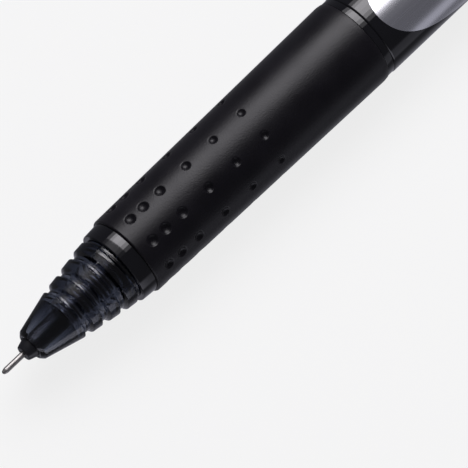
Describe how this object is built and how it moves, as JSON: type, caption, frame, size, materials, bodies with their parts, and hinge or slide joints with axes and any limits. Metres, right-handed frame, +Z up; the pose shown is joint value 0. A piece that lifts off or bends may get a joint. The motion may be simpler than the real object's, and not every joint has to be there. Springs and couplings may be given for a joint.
{
  "type": "gel pen",
  "caption": "Retractable needle-point gel pen with a smoky ringed nose, dimpled rubber grip, gloss black barrel, steel clip and push button.",
  "frame": {"origin": "on the table, under the middle of the pen's footprint, with the pen lying on its grip, clip collar and clip", "axes": "+X along the pen from the needle to the push button, +Z up from the table, clip on the -Y side"},
  "size_m": [0.141, 0.0146, 0.0127],
  "materials": {
    "barrel_black": "high gloss black",
    "silver_foil": "satin hot-stamped foil",
    "sleeve_black": "gloss black",
    "nose_smoke": "smoky translucent gloss",
    "grip_rubber": "matte black rubber",
    "cap_black": "high gloss black",
    "button_black": "high gloss black",
    "clip_steel": "polished plated steel",
    "collar_steel": "polished plated steel",
    "spring_steel": "drawn wire",
    "needle_steel": "fine turned steel",
    "ball_steel": "ground ball",
    "holder_black": "satin black",
    "tube_clear": "translucent polypropylene",
    "ink_black": "wet black gel",
    "grease_clear": "clear grease",
    "cam_white": "natural acetal",
    "plug_white": "natural polypropylene"
  },
  "bodies": {
    "barrel": {"barrel": "barrel_black", "nose_cone": "nose_smoke", "front_sleeve": "sleeve_black", "grip": "grip_rubber", "tail_cap": "cap_black", "clip_collar": "collar_steel", "cam_guide": "cam_white", "return_spring": "spring_steel"},
    "refill": {"tip_holder": "holder_black", "needle_tube": "needle_steel", "ball_spring": "spring_steel", "ink_tube": "tube_clear", "ink_column": "ink_black", "ink_follower": "grease_clear", "refill_plug": "plug_white"},
    "writing_ball": {"writing_ball": "ball_steel"},
    "cam_rotor": {"cam_rotor": "cam_white"},
    "button": {"push_button": "button_black", "thrust_sleeve": "cam_white"},
    "clip": {"clip": "clip_steel"}
  },
  "joints": [
    {"name": "refill_slide", "type": "slide", "parent": "barrel", "child": "refill", "axis": [1, 0, 0], "range_m": [-0.0012, 0.006], "deforming": ["return_spring"]},
    {"name": "button_slide", "type": "slide", "parent": "barrel", "child": "button", "axis": [1, 0, 0], "range_m": [-0.0012, 0.006]},
    {"name": "rotor_turn", "type": "hinge", "parent": "refill", "child": "cam_rotor", "pos_m": [0.0435, 0.00096, 0.00637], "axis": [1, 0, 0], "range_deg": [-9.1, 45.1]},
    {"name": "ball_roll", "type": "hinge", "parent": "refill", "child": "writing_ball", "pos_m": [-0.07025, 0.00096, 0.00637], "axis": [0, 1, 0], "continuous": true},
    {"name": "clip_flex", "type": "hinge", "parent": "barrel", "child": "clip", "pos_m": [0.0569, -0.00458, 0.00276], "axis": [0, -0.5458, 0.8379], "range_deg": [0, 5], "stiffness_Nm_per_rad": 2.5}
  ],
  "couplings": [
    {"joint": "button_slide", "follows": "refill_slide", "ratio": 1},
    {"joint": "rotor_turn", "follows": "refill_slide", "rad_per_m": 130.9}
  ]
}
